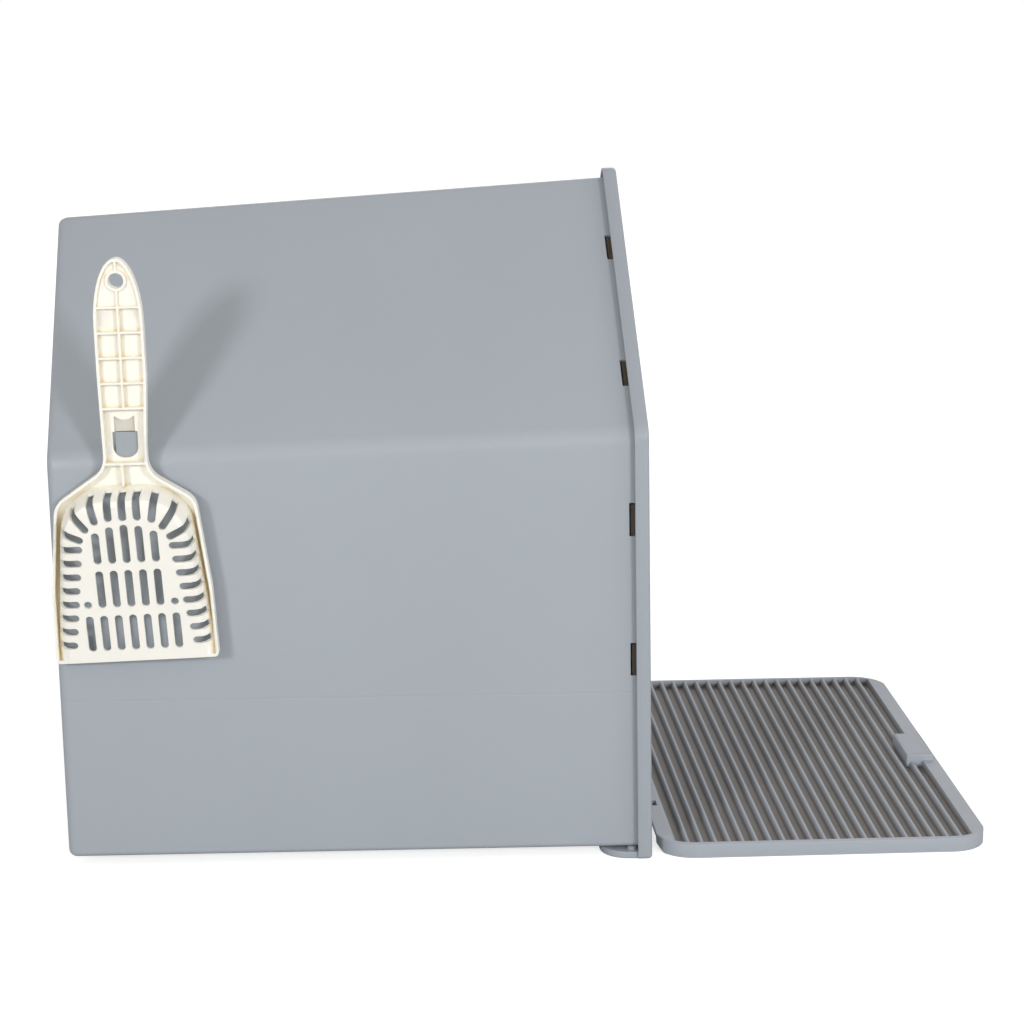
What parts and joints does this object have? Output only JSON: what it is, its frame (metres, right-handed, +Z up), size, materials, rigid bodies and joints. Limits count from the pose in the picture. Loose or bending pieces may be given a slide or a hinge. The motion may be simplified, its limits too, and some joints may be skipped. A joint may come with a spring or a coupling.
{
  "type": "enclosed litter box",
  "caption": "House-shaped enclosed litter box with an arched front entry, a pull-out litter drawer, a fold-up ridged step mat and a slotted scoop hung on its side wall.",
  "frame": {"origin": "middle of the rectangle that the whole part covers on the floor, at floor height, with the mat down and the scoop hung", "axes": "+X out of the entry towards the step mat, +Z up, -Y the side with the scoop"},
  "size_m": [0.6722, 0.4216, 0.4747],
  "materials": {
    "shell_plastic": "fine satin grain",
    "panel_plastic": "fine satin grain",
    "tray_plastic": "satin",
    "mat_plastic": "satin",
    "foot_rubber": "matt",
    "pin_steel": "brushed",
    "scoop_plastic": "smooth satin"
  },
  "bodies": {
    "body": {"body_shell": "shell_plastic", "front_panel": "panel_plastic", "rear_feet": "foot_rubber", "scoop_hanger": "panel_plastic"},
    "drawer": {"litter_tray": "tray_plastic", "drawer_front": "panel_plastic"},
    "mat": {"step_mat": "mat_plastic", "hinge_pins": "pin_steel"},
    "scoop": {"scoop": "scoop_plastic"}
  },
  "joints": [
    {"name": "drawer_slide", "type": "slide", "parent": "body", "child": "drawer", "axis": [1, 0, 0], "range_m": [0, 0.41]},
    {"name": "mat_hinge", "type": "hinge", "parent": "drawer", "child": "mat", "pos_m": [0.09788, 0.01071, 0.0045], "axis": [0, -1, 0], "range_deg": [0, 91]},
    {"name": "scoop_lift", "type": "slide", "parent": "body", "child": "scoop", "axis": [0, 0, 1], "range_m": [0, 0.06]}
  ]
}
